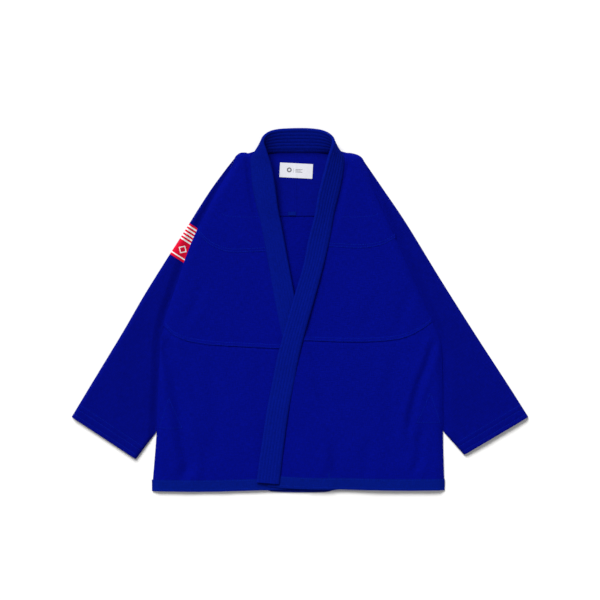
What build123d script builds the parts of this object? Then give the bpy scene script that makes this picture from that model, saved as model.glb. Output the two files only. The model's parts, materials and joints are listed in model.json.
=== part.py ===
from build123d import *
import os
from math import atan2, cos, degrees, radians, sin

# A grappling jacket laid flat on its back, sleeves swung down, wearer's left front on top.
# +Y points from the hem to the collar, +X to the wearer's left, +Z up from the table.
# The origin is under the middle of the jacket, on the table.

os.makedirs("parts", exist_ok=True)

# ---- driving dimensions, millimetres ----
body_length = 759.0        # collar rim to back hem
sleeve_reach = 478.0       # centre line to the outer corner of a cuff
side_half = 297.0          # half width at the armpit
vent_half = 299.6          # half width at the top of the side vent
hem_half = 304.0           # half width at the hem
neck_drop = 54.5           # collar rim down to the neck points
shoulder_drop = 64.5       # collar rim down to the shoulder points
shoulder_half = 133.0      # half width between the shoulder points
armhole_notch = (160.0, 139.5)   # across, and down from the rim: where the armhole turns down the side
seam_height = 313.5        # back hem up to the chest seam
seam_rise = 38.0           # how much higher the chest seam ends at the side
armpit_height = 319.5      # back hem up to the armpit
vent_height = 136.0        # back hem up to the top of the side vent
vent_top_patch = 73.0      # height of the triangular vent patch
vent_patch_width = 53.0
hem_tape_width = 23.0
front_hem_lift = 6.5       # the fronts end this much above the back hem
lapel_lift = 19.0          # the lapel ends this much above the back hem
patch_height = 512.0       # back hem up to the lower edge of the shoulder patch
patch_rise = 16.0          # how much higher that edge ends at the armhole
yoke_height = 578.5        # back hem up to the lower edge of the yoke lining
yoke_half = 150.0

sleeve_line = 301.0        # half distance between the lines about which the sleeves fold
sleeve_slope = 57.25       # degrees below level at which the sleeve runs down
cuff_width = 160.0
sleeve_apex = 254.0        # below the middle: where the sleeve's under edge meets the fold line
cuff_tape_width = 34.0

cloth = 2.0                # jacket cloth
tape = 1.2                 # patches and hem tape
lining = 1.0               # yoke lining
label_thickness = 0.4
torso_gap = 6.0            # space left between the back and the front that lies on it
sleeve_gap = 6.0           # space inside a sleeve
lapel_width = 48.0
lapel_thickness = 7.0
lapel_cover = 1.2          # cloth round the foam core
core_clearance = 0.15
layer_gap = 0.4            # between the under lapel and the front that lies on it
fold_gap = 0.4             # across a fold line, between the two sides of the fold
edge_strip = 4.0           # width of the folded or sewn edges that close the sides
seam_strip = 3.4           # width of the armhole seam
collar_lean = 30.0         # degrees that the standing collar leans back from level
label_size = (69.0, 31.0)
label_centre = (-8.0, 85.5)      # across, and down from the rim
label_turn = -3.0
emblem_span = (184.0, 118.0)     # heights above the middle of the emblem's ends on the fold
emblem_depth = 42.0

# ---- places worked out from them ----
rim_y = body_length / 2
hem_y = -body_length / 2
neck_y = rim_y - neck_drop
shoulder_y = rim_y - shoulder_drop
armpit_y = hem_y + armpit_height
seam_y = hem_y + seam_height
vent_y = hem_y + vent_height
patch_y = hem_y + patch_height
yoke_y = hem_y + yoke_height
front_hem_y = hem_y + front_hem_lift
apex_y = -sleeve_apex
under_front_z = cloth + torso_gap
top_front_z = under_front_z + lapel_thickness + layer_gap
sleeve_top_z = cloth + sleeve_gap
lapel_half = lapel_width / 2
outline_margin = 60.0      # how far a cutting outline runs past the cloth that it cuts

sleeve_along = (cos(radians(sleeve_slope)), -sin(radians(sleeve_slope)))
sleeve_across = (sleeve_along[1], -sleeve_along[0])
cuff_out = (sleeve_reach, shoulder_y + (sleeve_reach - shoulder_half) * sleeve_along[1] / sleeve_along[0])
cuff_in = (cuff_out[0] + cuff_width * sleeve_across[0], cuff_out[1] + cuff_width * sleeve_across[1])


def sleeve_edge_y(x):
    """Height of the sleeve's outer edge at a distance from the centre line."""
    return shoulder_y + (x - shoulder_half) * sleeve_along[1] / sleeve_along[0]


def save(piece, name):
    """Label a finished piece and write it to its own file."""
    piece.part.label = name
    export_step(piece.part, f"parts/{name}.step")


def slab(outline, bottom, thickness, name):
    """A flat piece of cloth cut to an outline."""
    with BuildPart() as piece:
        with BuildSketch(Plane.XY.offset(bottom)):
            add(outline)
        extrude(amount=thickness)
    save(piece, name)


def polygon(points):
    """A flat face with straight sides."""
    with BuildSketch() as face:
        with BuildLine():
            Polyline(*points, close=True)
        make_face()
    return face.sketch


def strip(start, end, width, side):
    """A straight band of a given width, laid to one side of the line from start to end."""
    run = Vector(end[0] - start[0], end[1] - start[1]).normalized()
    step = Vector(-run.Y, run.X) * width * side
    far_end = (end[0] + step.X, end[1] + step.Y)
    far_start = (start[0] + step.X, start[1] + step.Y)
    return polygon([start, end, far_end, far_start])


class Half:
    """One side of the jacket: which way it lies, its levels, its fold line and its lapel."""

    def __init__(self, name, sign, level, neck_half, fold_foot, lapel_middle):
        self.name = name
        self.sign = sign
        self.level = level
        self.neck = Vector(sign * neck_half, neck_y)
        self.foot = Vector(sign * fold_foot, hem_y)
        self.fold = (self.foot - self.neck).normalized()
        self.inward = Vector(sign * self.fold.Y, -sign * self.fold.X)
        start = self.neck + self.inward * lapel_half
        self.lapel_middle = [start] + [Vector(sign * x, y) for x, y in lapel_middle]

    def at(self, *points):
        """Points given for the wearer's left side, on this side."""
        return [(self.sign * x, y) for x, y in points]

    def fold_x(self, y):
        """Where the fold line crosses a height, from the centre line outwards."""
        along = (y - self.neck.Y) / self.fold.Y
        return self.sign * (self.neck.X + along * self.fold.X)

    def fold_axis_z(self):
        return self.level + lapel_thickness

    def lapel_band(self, inset=0.0):
        """The lapel's outline: two edges an even width apart along its middle line."""
        normals = [self.inward]
        for before, after in zip(self.lapel_middle[:-2], self.lapel_middle[2:]):
            run = (after - before).normalized()
            normals.append(Vector(self.sign * run.Y, -self.sign * run.X))
        last = (self.lapel_middle[-1] - self.lapel_middle[-2]).normalized()
        normals.append(Vector(self.sign * last.Y, -self.sign * last.X))
        reach = lapel_half - inset
        outer = [p - n * reach for p, n in zip(self.lapel_middle, normals)]
        inner = [p + n * reach for p, n in zip(self.lapel_middle, normals)]
        for edge in (outer, inner):
            edge[0] = edge[0] + self.fold * (fold_gap + inset)
            edge[-1] = edge[-1] - last * inset
        with BuildSketch() as band:
            with BuildLine():
                Spline(*outer)
                Line(outer[-1], inner[-1])
                Spline(*inner[::-1])
                Line(inner[0], outer[0])
            make_face()
        return band.sketch

    def flap_outline(self):
        """The front between the fold line and the lapel, which opens."""
        shift = self.inward * fold_gap
        top, bottom = self.neck + shift, self.foot + shift
        middle = [(p.X, p.Y) for p in self.lapel_middle]
        tail = (middle[-1][0], front_hem_y)
        foot_x = self.sign * self.fold_x(front_hem_y) + shift.X
        points = [(top.X, top.Y), (foot_x, front_hem_y), tail] + middle[::-1]
        with BuildSketch() as flap:
            add(polygon(points))
            add(self.lapel_band(), mode=Mode.SUBTRACT)
        return flap.sketch.faces().sort_by(SortBy.AREA)[-1]

    def side_outline(self):
        """The front between the fold line, the shoulder, the armhole and the side."""
        notch = (armhole_notch[0], rim_y - armhole_notch[1])
        points = [(abs(self.neck.X), neck_y), (shoulder_half, shoulder_y), notch, (side_half, armpit_y),
                  (vent_half, vent_y), (hem_half - 1, front_hem_y), (self.fold_x(front_hem_y), front_hem_y)]
        return polygon(self.at(*points))

    def above(self, low_inner, low_outer, outer_x):
        """Everything above a seam that runs level as far as the fold line, then curves up to the side."""
        start = self.fold_x(low_inner)
        middle = (start + outer_x) / 2
        sag = low_inner + (low_outer - low_inner) * 0.3
        top = rim_y + outline_margin
        far = outer_x + outline_margin
        inner = -sleeve_line
        with BuildSketch() as region:
            with BuildLine():
                Line(*self.at((inner, low_inner), (start, low_inner)))
                ThreePointArc(*self.at((start, low_inner), (middle, sag), (outer_x, low_outer)))
                Polyline(*self.at((outer_x, low_outer), (far, low_outer), (far, top), (inner, top),
                                  (inner, low_inner)))
            make_face()
        return region.sketch


left = Half("left", 1, top_front_z, 94.0, 285.0,
            [(40.0, 149.0), (-21.0, -75.0), (-67.0, hem_y + lapel_lift)])
right = Half("right", -1, under_front_z, 104.0, 285.0,
             [(50.0, 132.0), (15.0, -49.0), (-43.0, hem_y + lapel_lift)])
halves = [left, right]


def cut(outline, *keep, drop=()):
    """An outline cut down to what lies inside each face of keep and outside each face of drop."""
    with BuildSketch() as face:
        add(outline)
        for region in keep:
            add(region, mode=Mode.INTERSECT)
        for region in drop:
            add(region, mode=Mode.SUBTRACT)
    return face.sketch


# ---- the back, its hem tape, the yoke lining and the label ----
neck_arch = 12.0
side_points = [(shoulder_half, shoulder_y), (armhole_notch[0], rim_y - armhole_notch[1]),
               (side_half, armpit_y), (vent_half, vent_y), (hem_half, hem_y)]
mirrored_points = [(-x, y) for x, y in side_points[::-1]]
with BuildSketch() as back_outline:
    with BuildLine():
        ThreePointArc((right.neck.X, neck_y), (0, neck_y + neck_arch), (left.neck.X, neck_y))
        Polyline((left.neck.X, neck_y), *side_points, *mirrored_points, (right.neck.X, neck_y))
    make_face()
slab(back_outline.sketch, 0, cloth, "back_panel")

back_tape_half = hem_half - 1.5
slab(polygon([(-back_tape_half, hem_y), (back_tape_half, hem_y),
              (back_tape_half - 1, hem_y + hem_tape_width), (1 - back_tape_half, hem_y + hem_tape_width)]),
     cloth, tape, "back_hem_tape")

for half in halves:
    yoke = polygon(half.at((0.2, yoke_y), (yoke_half, yoke_y), (yoke_half, yoke_y + 60.0),
                           (abs(half.neck.X), neck_y - 4.0), (0.2, neck_y + neck_arch - 4.0)))
    slab(yoke, cloth, lining, f"yoke_lining_{half.name}")

label_place = Location((label_centre[0], rim_y - label_centre[1], cloth + lining), (0, 0, label_turn))
with BuildPart() as neck_label:
    with BuildSketch(Plane(label_place)):
        RectangleRounded(*label_size, radius=2.0)
    extrude(amount=label_thickness)
save(neck_label, "neck_label")


# ---- the standing collar at the back of the neck ----
def collar_sections():
    """Planes across the collar from the left lapel to the right: X along its width, Y its thickness."""
    lean = radians(collar_lean)

    def rise(tilt):
        """From a section's lowest corner up to its middle."""
        return lapel_half * sin(tilt) + lapel_thickness / 2 * cos(tilt)

    seat_z = cloth + lining + layer_gap
    crown_y = rim_y - lapel_half * cos(lean) - lapel_thickness / 2 * sin(lean)
    stations = [(0.84, 14.0, 37.0, 0.35), (0.53, 3.0, 72.0, 0.75)]   # share of width, drop, heading, share of lean
    sections = []
    for half in (left, right):
        end = half.neck + half.inward * lapel_half
        side = [Plane(origin=(end.X, end.Y, half.level + rise(0)), x_dir=(half.inward.X, half.inward.Y, 0),
                      z_dir=(-half.sign * half.fold.X, -half.sign * half.fold.Y, 0))]
        for share, drop, heading, lean_share in stations:
            turn, tilt = radians(heading), lean * lean_share
            z = half.level + (seat_z - half.level) * lean_share + rise(tilt)
            width_way = (-half.sign * cos(turn) * cos(tilt), -sin(turn) * cos(tilt), -sin(tilt))
            path_way = (-sin(turn), half.sign * cos(turn), 0)
            side.append(Plane(origin=(end.X * share, crown_y - drop, z), x_dir=width_way, z_dir=path_way))
        sections.append(side)
    crown = Plane(origin=(0, crown_y, seat_z + rise(lean)), x_dir=(0, -cos(lean), -sin(lean)), z_dir=(-1, 0, 0))
    return sections[0] + [crown] + sections[1][::-1]


def collar_loft(width, thickness):
    """A solid of even section that follows the collar."""
    with BuildPart() as band:
        for place in collar_sections():
            with BuildSketch(place):
                Rectangle(width, thickness)
        loft()
    return band.part


with BuildPart() as collar_back:
    add(collar_loft(lapel_width, lapel_thickness))
    add(collar_loft(lapel_width - 2 * lapel_cover, lapel_thickness - 2 * lapel_cover), mode=Mode.SUBTRACT)
save(collar_back, "collar_back")

core_inset = lapel_cover + core_clearance
with BuildPart() as collar_core:
    add(collar_loft(lapel_width - 2 * core_inset, lapel_thickness - 2 * core_inset))
save(collar_core, "collar_core")

# ---- the fronts: a side that stays on the back, and a flap that folds open ----
for half in halves:
    low, top = half.level, half.level + cloth
    side, flap, band = half.side_outline(), half.flap_outline(), half.lapel_band()
    over_seam = half.above(seam_y, seam_y + seam_rise, side_half)
    patch_outer = armhole_notch[0] + 45.0
    over_patch = half.above(patch_y, patch_y + patch_rise, patch_outer)
    under_tape = polygon([(-sleeve_reach, hem_y), (sleeve_reach, hem_y),
                          (sleeve_reach, front_hem_y + hem_tape_width),
                          (-sleeve_reach, front_hem_y + hem_tape_width)])
    slab(cut(side, over_seam), low, cloth, f"chest_side_{half.name}")
    slab(cut(side, drop=[over_seam]), low, cloth, f"skirt_side_{half.name}")
    slab(cut(flap, over_seam), low, cloth, f"chest_flap_{half.name}")
    slab(cut(flap, drop=[over_seam]), low, cloth, f"skirt_flap_{half.name}")
    slab(cut(side, over_patch), top, tape, f"shoulder_patch_side_{half.name}")
    slab(cut(flap, over_patch), top, tape, f"shoulder_patch_flap_{half.name}")
    slab(cut(side, under_tape), top, tape, f"hem_tape_side_{half.name}")
    slab(cut(flap, under_tape), top, tape, f"hem_tape_flap_{half.name}")

    with BuildPart() as lapel:
        with BuildSketch(Plane.XY.offset(low)):
            add(band)
        extrude(amount=lapel_thickness)
        with BuildSketch(Plane.XY.offset(low + lapel_cover)):
            add(half.lapel_band(lapel_cover))
        extrude(amount=lapel_thickness - 2 * lapel_cover, mode=Mode.SUBTRACT)
    save(lapel, f"lapel_{half.name}")
    slab(half.lapel_band(core_inset), low + core_inset, lapel_thickness - 2 * core_inset,
         f"lapel_core_{half.name}")

    # ---- the edges where the front is joined to the back ----
    gap_height = half.level - cloth
    shoulder = strip(*half.at((abs(half.neck.X) + 1, neck_y), (shoulder_half, shoulder_y)), edge_strip, -half.sign)
    slab(cut(shoulder, side), cloth, gap_height, f"shoulder_fold_{half.name}")
    side_seam = strip(*half.at((side_half, armpit_y - 2), (vent_half, vent_y)), edge_strip, -half.sign)
    slab(side_seam, cloth, gap_height, f"side_seam_{half.name}")

    vent_corner = vent_half - 3.0
    vent_patch = polygon(half.at((vent_corner, vent_y), (vent_corner - vent_patch_width, vent_y),
                                 (vent_corner - vent_patch_width * 0.4, vent_y + vent_top_patch)))
    slab(cut(vent_patch, side), top, tape, f"vent_patch_{half.name}")

    # ---- the sleeve head, which stays with the body, and the armhole seam ----
    notch = (armhole_notch[0], rim_y - armhole_notch[1])
    fold_top = (sleeve_line, sleeve_edge_y(sleeve_line))
    seam_out = (shoulder_half + seam_strip, sleeve_edge_y(shoulder_half + seam_strip))
    armhole = [(shoulder_half, shoulder_y), notch, (side_half, armpit_y)]
    seam_far = [(side_half + seam_strip, armpit_y), (notch[0] + seam_strip, notch[1]), seam_out]
    slab(polygon(half.at(*armhole, *seam_far)), sleeve_top_z, half.level + cloth - sleeve_top_z,
         f"armhole_seam_{half.name}")
    head_front = polygon(half.at(seam_far[2], fold_top, (sleeve_line, armpit_y), seam_far[0], seam_far[1]))
    head_back = polygon(half.at(armhole[0], fold_top, (sleeve_line, armpit_y), armhole[2], armhole[1]))
    slab(head_front, sleeve_top_z, cloth, f"sleeve_head_front_{half.name}")
    slab(head_back, 0, cloth, f"sleeve_head_back_{half.name}")
    head_fold = strip(*half.at(seam_out, fold_top), edge_strip, -half.sign)
    slab(cut(head_fold, head_back), cloth, sleeve_gap, f"sleeve_head_fold_{half.name}")

    # ---- the sleeve, which folds up about a line beside the body ----
    near = sleeve_line + fold_gap
    near_top = (near, sleeve_edge_y(near))
    sleeve = polygon(half.at(near_top, cuff_out, cuff_in, (near, apex_y)))
    slab(sleeve, 0, cloth, f"sleeve_back_{half.name}")
    slab(sleeve, sleeve_top_z, cloth, f"sleeve_front_{half.name}")
    outer_fold = strip(*half.at(near_top, cuff_out), edge_strip, -half.sign)
    slab(cut(outer_fold, sleeve), cloth, sleeve_gap, f"sleeve_fold_{half.name}")
    under_seam = strip(*half.at(cuff_in, (near, apex_y)), edge_strip, -half.sign)
    tuck = strip(*half.at((near, apex_y), (near, armpit_y)), edge_strip, -half.sign)
    with BuildSketch() as under_edge:
        add(under_seam)
        add(tuck)
        add(sleeve, mode=Mode.INTERSECT)
    slab(under_edge.sketch, cloth, sleeve_gap, f"sleeve_under_seam_{half.name}")
    cuff_start = (cuff_out[0] - cuff_tape_width * sleeve_along[0], cuff_out[1] - cuff_tape_width * sleeve_along[1])
    cuff_end = (cuff_in[0] - cuff_tape_width * sleeve_along[0], cuff_in[1] - cuff_tape_width * sleeve_along[1])
    cuff = polygon(half.at(cuff_out, cuff_in, cuff_end, cuff_start))
    slab(cut(cuff, sleeve), sleeve_top_z + cloth, tape, f"cuff_tape_{half.name}")

# ---- the emblem on the wearer's right sleeve head, along its outer fold ----
emblem_edge = [(shoulder_half + (shoulder_y - y) * sleeve_along[0] / -sleeve_along[1], y) for y in emblem_span]
emblem_inner = [(x + emblem_depth * sleeve_across[0] * 0.55, y + emblem_depth * sleeve_across[1] * 0.55)
                for x, y in emblem_edge[::-1]]
slab(polygon(right.at(*emblem_edge, *emblem_inner)), sleeve_top_z + cloth, tape / 2, "emblem_patch")

for half in halves:
    tilt = degrees(atan2(half.fold.X, -half.fold.Y))
    print(f"{half.name} fold: neck {half.neck.X:.1f}, foot {half.foot.X:.1f}, "
          f"direction {half.fold.X:.5f} {half.fold.Y:.5f}, {tilt:.2f} degrees off straight, "
          f"height {half.fold_axis_z():.1f}")
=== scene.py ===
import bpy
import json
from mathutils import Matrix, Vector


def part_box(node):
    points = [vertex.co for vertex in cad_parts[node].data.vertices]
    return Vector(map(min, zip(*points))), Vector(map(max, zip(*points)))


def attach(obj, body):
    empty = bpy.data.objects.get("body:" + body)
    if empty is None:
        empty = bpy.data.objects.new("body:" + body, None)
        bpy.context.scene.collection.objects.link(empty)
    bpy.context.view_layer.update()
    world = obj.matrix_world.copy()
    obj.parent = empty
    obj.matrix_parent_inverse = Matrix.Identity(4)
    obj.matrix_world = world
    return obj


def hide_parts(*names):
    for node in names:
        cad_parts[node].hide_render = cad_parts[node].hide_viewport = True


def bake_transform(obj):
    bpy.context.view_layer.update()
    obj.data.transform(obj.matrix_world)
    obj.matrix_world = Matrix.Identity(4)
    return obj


bl_info = {
    "name": "Grappling jacket",
    "version": (1, 0, 0),
    "blender": (4, 5, 0),
    "location": "3D View > Sidebar > Jacket",
    "description": "Cuts, sews and lays out a grappling jacket round its CAD frame",
    "category": "Object",
}

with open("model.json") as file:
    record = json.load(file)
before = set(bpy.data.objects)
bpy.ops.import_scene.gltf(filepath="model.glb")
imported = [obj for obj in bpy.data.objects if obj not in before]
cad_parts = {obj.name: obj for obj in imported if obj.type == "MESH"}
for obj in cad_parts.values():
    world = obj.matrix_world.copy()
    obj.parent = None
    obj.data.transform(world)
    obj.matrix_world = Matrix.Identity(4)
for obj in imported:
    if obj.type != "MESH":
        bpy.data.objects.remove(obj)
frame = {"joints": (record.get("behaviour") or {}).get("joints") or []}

import json
import math

import bmesh
import bpy
from mathutils import Matrix, Vector, kdtree, noise

MM = 0.001

# ---- places read from the frame, metres ----
BACK_LOW, BACK_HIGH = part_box("back_panel")
HEM_Y = BACK_LOW.y
RIM_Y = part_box("collar_back")[1].y
HEAD_LOW, HEAD_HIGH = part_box("sleeve_head_back_left")
SHOULDER = Vector((HEAD_LOW.x, HEAD_HIGH.y))
ARMPIT_Y = HEAD_LOW.y
SLEEVE_LOW, SLEEVE_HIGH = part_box("sleeve_back_left")
SLEEVE_RUN = (Vector((SLEEVE_LOW.x, SLEEVE_HIGH.y)) - SHOULDER).normalized()
CUFF_OUT = SHOULDER + SLEEVE_RUN * ((SLEEVE_HIGH.x - SHOULDER.x) / SLEEVE_RUN.x)
CUFF_IN = Vector((CUFF_OUT.x + SLEEVE_RUN.y * (CUFF_OUT.y - SLEEVE_LOW.y) / SLEEVE_RUN.x, SLEEVE_LOW.y))
JOINTS = {joint["name"]: joint for joint in frame["joints"]}
LAPEL_TOP = {side: Vector(JOINTS[f"{side}_front_fold"]["pos_m"]) for side in ("left", "right")}
LAPEL_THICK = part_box("lapel_left")[1].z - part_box("lapel_left")[0].z
SIDES = {"left": 1, "right": -1}
CAD_BOX = None


# ---------------------------------------------------------------- settings
class JacketSizes(bpy.types.PropertyGroup):
    """Cloth, stitch and seam sizes."""

    cloth: bpy.props.FloatProperty(
        name="Cloth", description="Thickness of the jacket cloth", default=1.6 * MM, unit="LENGTH")
    tape: bpy.props.FloatProperty(
        name="Tape", description="Thickness of the hem tape and patches", default=1.1 * MM, unit="LENGTH")
    mesh_step: bpy.props.FloatProperty(
        name="Mesh step", description="Distance between rows of a cloth mesh", default=5.0 * MM, unit="LENGTH")
    collar_width: bpy.props.FloatProperty(
        name="Collar width", description="Width of the collar band", default=48.0 * MM, unit="LENGTH")
    collar_row: bpy.props.FloatProperty(
        name="Collar rows", description="Distance between stitch rows on the collar", default=6.5 * MM,
        unit="LENGTH")
    stitch: bpy.props.FloatProperty(
        name="Stitch", description="Length from one stitch to the next", default=3.6 * MM, unit="LENGTH")
    hem_tape: bpy.props.FloatProperty(
        name="Hem tape", description="Width of the hem tape", default=23.0 * MM, unit="LENGTH")
    weave: bpy.props.FloatProperty(
        name="Weave", description="Pitch of the pearl weave", default=2.1 * MM, unit="LENGTH")
    twill: bpy.props.FloatProperty(
        name="Twill", description="Pitch of the collar and hem twill", default=1.5 * MM, unit="LENGTH")


class JacketColours(bpy.types.PropertyGroup):
    """Colours of the cloths, as linear values."""

    body: bpy.props.FloatVectorProperty(
        name="Body", description="Jacket cloth", subtype="COLOR", default=(0.0002, 0.0030, 0.240))
    collar: bpy.props.FloatVectorProperty(
        name="Collar", description="Collar and lapel cloth", subtype="COLOR", default=(0.0002, 0.0062, 0.212))
    tape: bpy.props.FloatVectorProperty(
        name="Tape", description="Hem tape", subtype="COLOR", default=(0.0002, 0.0078, 0.205))
    lining: bpy.props.FloatVectorProperty(
        name="Lining", description="Yoke lining", subtype="COLOR", default=(0.0003, 0.0030, 0.205))
    # Thread: paler than the cloth, partly paler worn thread and partly a painted highlight of seams facing the light
    thread: bpy.props.FloatVectorProperty(
        name="Thread", description="Sewing thread", subtype="COLOR", default=(0.0016, 0.020, 0.42))
    emblem: bpy.props.FloatVectorProperty(
        name="Emblem", description="Emblem ground", subtype="COLOR", default=(0.66, 0.0015, 0.030))
    floor: bpy.props.FloatVectorProperty(
        name="Floor", description="Floor under the jacket", subtype="COLOR", default=(0.90, 0.895, 0.885))


def sizes():
    return bpy.context.scene.jacket_sizes


def colours():
    return bpy.context.scene.jacket_colours


# ---------------------------------------------------------------- lines on the table
def spline(a, b, c, d, t):
    """A point between b and c of a smooth line through four points."""
    return 0.5 * (2 * b + (c - a) * t + (2 * a - 5 * b + 4 * c - d) * t * t + (3 * b - a - 3 * c + d) * t ** 3)


class Course:
    """A smooth line through points on the table, read by share of its length."""

    def __init__(self, points, step=1.0 * MM):
        points = [Vector(p) for p in points]
        ends = [points[0] * 2 - points[1]] + points + [points[-1] * 2 - points[-2]]
        self.line = [points[0]]
        for a, b, c, d in zip(ends, ends[1:], ends[2:], ends[3:]):
            count = max(2, int((c - b).length / step))
            for i in range(1, count + 1):
                self.line.append(spline(a, b, c, d, i / count))
        self.run = [0.0]
        for p, q in zip(self.line, self.line[1:]):
            self.run.append(self.run[-1] + (q - p).length)
        self.length = self.run[-1]
        self.near = kdtree.KDTree(len(self.line))
        for i, p in enumerate(self.line):
            self.near.insert((p.x, p.y, 0), i)
        self.near.balance()

    def at(self, share):
        """The point at a share of the length."""
        far = min(max(share, 0.0), 1.0) * self.length
        low, high = 0, len(self.run) - 1
        while high - low > 1:
            middle = (low + high) // 2
            if self.run[middle] <= far:
                low = middle
            else:
                high = middle
        span = self.run[high] - self.run[low]
        return self.line[low].lerp(self.line[high], (far - self.run[low]) / span if span else 0.0)

    def share_at_y(self, y):
        """Share of the length at which the line crosses a height."""
        for i, (p, q) in enumerate(zip(self.line, self.line[1:])):
            if (p.y - y) * (q.y - y) <= 0 and p.y != q.y:
                return (self.run[i] + (self.run[i + 1] - self.run[i]) * (y - p.y) / (q.y - p.y)) / self.length
        return 1.0

    def part(self, start, end, count=12):
        """A stretch of this line, as its own course."""
        return Course([self.at(start + (end - start) * i / count) for i in range(count + 1)])

    def from_end(self, p):
        """How far from an end of the line its nearest place to a point is."""
        far = self.run[self.near.find((p.x, p.y, 0))[1]]
        return min(far, self.length - far)

    def distance(self, p):
        """How far a point lies from the line."""
        q = Vector((p.x, p.y))
        index = self.near.find((p.x, p.y, 0))[1]
        best = 9.0
        for a, b in zip(self.line[max(index - 1, 0):index + 1], self.line[max(index, 1):index + 2]):
            run = b - a
            t = min(max((q - a).dot(run) / max(run.length_squared, 1e-12), 0.0), 1.0)
            best = min(best, (a + run * t - q).length_squared)
        return math.sqrt(best)


def at_side(side, *points):
    """Points in millimetres given for the wearer's left, on the named side, in metres."""
    return [Vector((SIDES[side] * x, y)) * MM for x, y in points]


def ease(t):
    t = min(max(t, 0.0), 1.0)
    return t * t * (3 - 2 * t)


def rounded(distance, radius):
    """Height of a quarter round, from 0 at its edge to 1 at its radius."""
    t = 1 - min(max(distance / radius, 0.0), 1.0)
    return math.sqrt(1 - t * t)


def soft_noise(x, y, size, seed):
    """Smooth hills and hollows of about a given size, from -1 to 1."""
    return noise.noise(Vector((x / size, y / size, seed)))


# ---- the lines that the jacket is cut and laid to ----
HOLE = {  # the fold where a front rolls over the sleeve, and the side below it
    "left": Course(at_side("left", (134, 314), (145, 288), (160, 240), (181, 193), (208, 134), (235, 73), (262, 11),
                           (277, -22), (290, -52), (297, -86), (298.5, -150), (299, -232), (300, -300),
                           (303, -374))),
    "right": Course(at_side("right", (137, 320), (147, 296), (168, 262), (215, 171), (242, 105), (269, 25),
                            (283, -15), (291, -56), (295, -123), (298, -190), (300, -252), (305, -315),
                            (310, -375))),
}
SHOULDER_TOP = {
    "left": Course(at_side("left", (134, 314), (129, 322), (120, 327.5), (106, 331), (92, 331.5))),
    "right": Course(at_side("right", (137, 320), (134, 325), (126, 331), (115, 332), (103, 329.5))),
}
CHEST_SEAM = {
    "left": Course(at_side("left", (278, -22), (269, -28), (249, -42), (215, -57), (168, -63.5), (101, -65),
                           (10, -62), (-22, -61))),
    "right": Course(at_side("right", (283, -30), (275, -42), (258, -54), (235, -63), (188, -71), (101, -76),
                            (44, -79), (8, -80))),
}
SEWN_EDGE = {  # the collar band's edge that is sewn to the jacket, from the crown of the neck to the hem
    "left": [(0, 331, 4), (25, 331, 4), (45, 331, 4), (62, 330.5, 4.5), (75, 330, 5), (85, 328, 6.5),
             (91.5, 322, 8.5), (93, 312, 10), (91.5, 295, 11), (87.5, 271, 11.5), (80.5, 240, 12), (71.8, 205, 12.8),
             (62.5, 152, 13.6), (50.5, 100, 15), (34.5, 40, 16.4), (3.5, -72, 16), (-10.5, -140, 13.8),
             (-23, -205, 13.7), (-33.5, -280, 13.6), (-43, -361, 12.6)],
    "right": [(0, 331, 4), (25, 331, 4), (48, 331, 4), (70, 330.5, 4.5), (84, 330, 5), (95, 328, 6),
              (102, 322, 6.8), (104, 312, 7.2), (103, 295, 7.6), (100, 262, 8), (92, 222, 8.1), (82.5, 184, 8.1),
              (64.7, 90, 8.1), (53, 22, 8.1), (39, -49, 8.1), (26, -125, 8.1), (12, -205, 8.1), (-4, -280, 8.1),
              (-19, -357, 8.1)],
}
FREE_EDGE = {  # and the free edge, its rim
    "left": [(0, 381, 23), (22, 380.3, 23.5), (42, 377.5, 25), (57, 371.5, 28), (66.5, 362, 31.5),
             (68, 351, 34), (64.5, 339, 34.5), (58.5, 322, 33), (52.3, 299, 31.5), (44.5, 269, 29),
             (36.8, 238, 27), (30.2, 199, 24), (17.5, 149, 20.5), (6, 92, 18), (-10.5, 36, 16.8),
             (-43.5, -80, 16), (-57.5, -146, 13.8), (-70, -211, 13.7), (-81, -284, 13.6), (-91, -357, 12.6)],
    "right": [(0, 381, 23), (25, 380.3, 23.5), (46, 378.5, 25), (63, 373.5, 28), (74, 364, 31.5),
              (76.5, 352, 34), (71, 337, 34), (64.5, 318, 32), (57.5, 294, 28.5), (51, 257, 24),
              (45.5, 215, 18.5), (37.5, 175, 13), (20, 80, 9.2), (6.5, 12, 8.1), (-8, -59, 8.1), (-21, -133, 8.1),
              (-35.5, -211, 8.1), (-52, -284, 8.1), (-67, -356, 8.1)],
}
NECK_STATION = 5           # where the band leaves the neck seam and runs down the front


def lapel_course(side, share):
    """The line down the lapel at a share of its width from the sewn edge."""
    pairs = list(zip(SEWN_EDGE[side], FREE_EDGE[side]))[NECK_STATION:]
    return Course(at_side(side, *[(a[0] + (b[0] - a[0]) * share, a[1] + (b[1] - a[1]) * share)
                                  for a, b in pairs]))


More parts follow.
